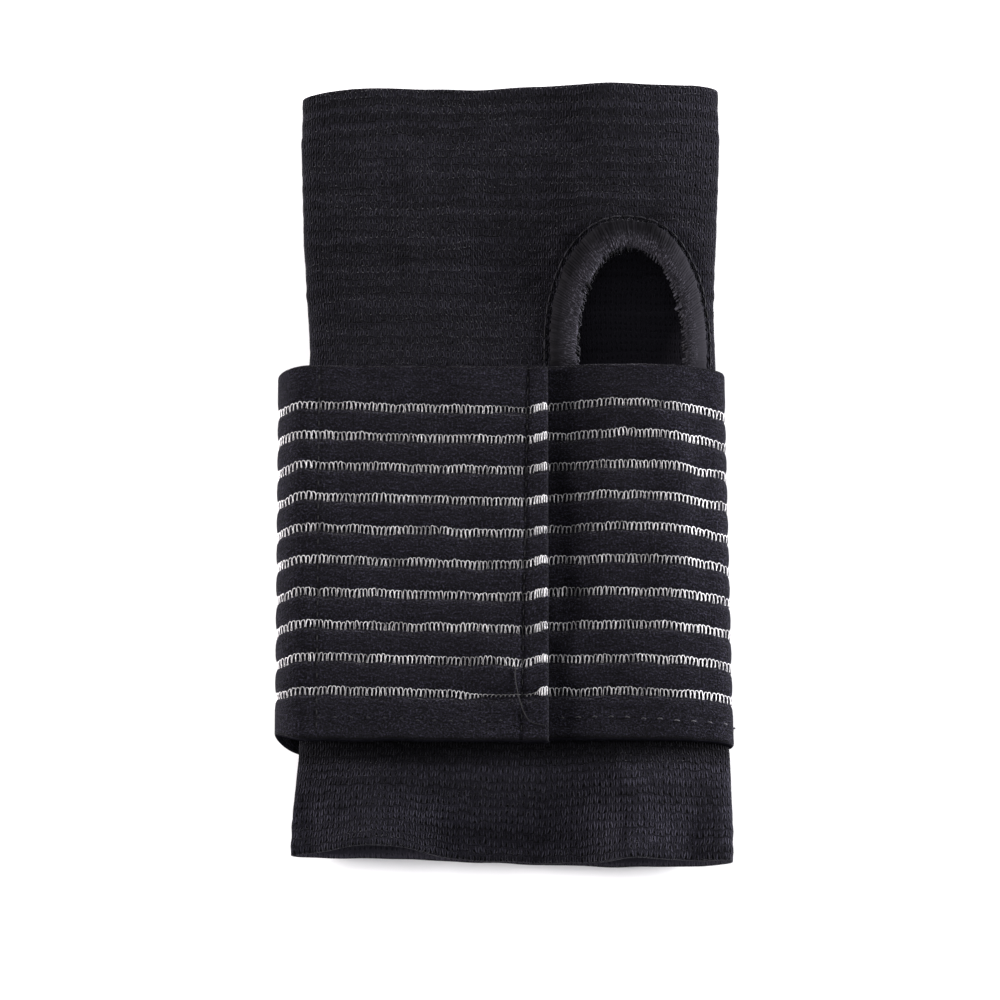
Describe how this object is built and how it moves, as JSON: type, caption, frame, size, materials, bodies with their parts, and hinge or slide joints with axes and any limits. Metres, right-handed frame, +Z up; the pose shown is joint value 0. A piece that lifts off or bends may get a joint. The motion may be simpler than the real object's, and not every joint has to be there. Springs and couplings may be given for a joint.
{
  "type": "wrist support brace",
  "caption": "Flat knitted wrist and palm sleeve with a bound thumb hole and a wide striped elastic wrap strap whose free end opens on a hook tape.",
  "frame": {"origin": "centre of the bounding box on the surface the brace lies on", "axes": "+Y along the sleeve towards the palm end, +Z up through the flattened brace, front face up; +X towards the thumb hole's side"},
  "size_m": [0.0872, 0.1532, 0.0132],
  "materials": {
    "knit": "matte black ribbed knit",
    "binding": "matte black overlocked edge",
    "strap_elastic": "matte black woven elastic",
    "hook_tape": "matte hook tape",
    "thread": "sewing thread",
    "stripe_thread": "light grey woven thread"
  },
  "bodies": {
    "brace": {"knit_sleeve": "knit", "thumb_hole_binding": "binding", "thumb_hole_seam": "thread", "strap_front_length": "strap_elastic", "strap_right_turn": "strap_elastic", "strap_back_length": "strap_elastic", "sewn_end_stitch_row_1": "thread", "sewn_end_stitch_row_2": "thread", "edge_stitch_row_front": "thread"},
    "left_turn": {"strap_left_turn": "strap_elastic"},
    "flap": {"strap_flap": "strap_elastic", "hook_tape": "hook_tape", "hook_tape_stitch_row_inner": "thread", "hook_tape_stitch_row_outer": "thread", "edge_stitch_row_flap": "thread"},
    "lip": {"strap_end_lip": "strap_elastic"}
  },
  "joints": [
    {"name": "left_turn_unroll", "type": "hinge", "parent": "brace", "child": "left_turn", "pos_m": [-0.04121, 0, 0.00239], "axis": [0, -1, 0], "range_deg": [0, 86]},
    {"name": "flap_open", "type": "hinge", "parent": "left_turn", "child": "flap", "pos_m": [-0.04121, 0, 0.01081], "axis": [0, -1, 0], "range_deg": [0, 86]},
    {"name": "lip_lift", "type": "hinge", "parent": "flap", "child": "lip", "pos_m": [0.0041, 0, 0.01255], "axis": [0, -1, 0], "range_deg": [0, 55]}
  ],
  "couplings": [
    {"joint": "left_turn_unroll", "follows": "flap_open", "ratio": 1}
  ]
}
